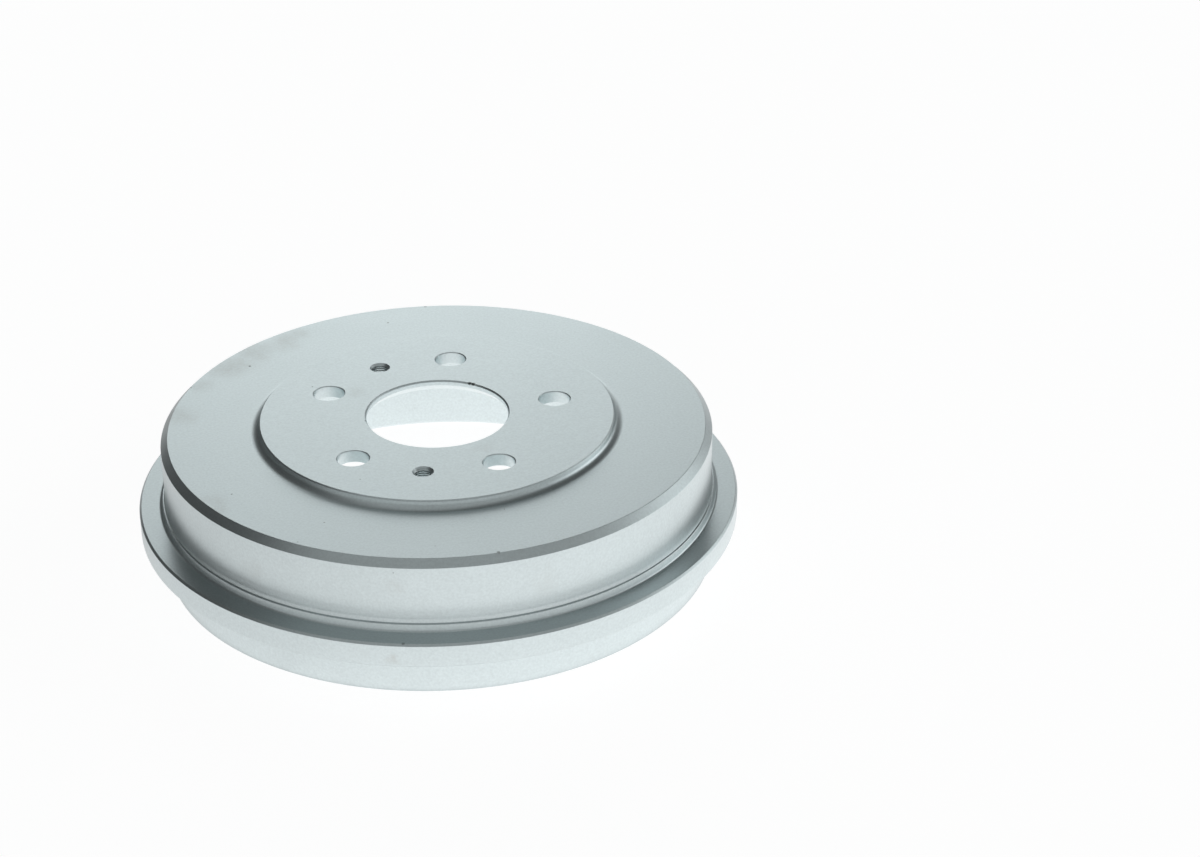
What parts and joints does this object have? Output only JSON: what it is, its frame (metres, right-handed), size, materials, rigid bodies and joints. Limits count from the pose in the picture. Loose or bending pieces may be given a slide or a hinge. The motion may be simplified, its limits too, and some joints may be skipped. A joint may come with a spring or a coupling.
{
  "type": "brake drum",
  "caption": "Cast brake drum: a shallow bowl with a turned friction wall, a stiffening flange, a raised wheel pad, a hub bore, stud holes and tapped jacking holes.",
  "frame": {"origin": "centre of the open rim's plane, on the drum's axis, where the drum rests when it stands on its rim", "axes": "+Z along the drum's axis from the open rim towards the wheel pad; +X through the first stud hole"},
  "size_m": [0.27, 0.27, 0.066],
  "materials": {
    "coated_iron": "turned grey iron under a thin, even, satin silver-grey zinc-flake coat"
  },
  "bodies": {
    "root": {"brake_drum": "coated_iron"}
  },
  "joints": []
}
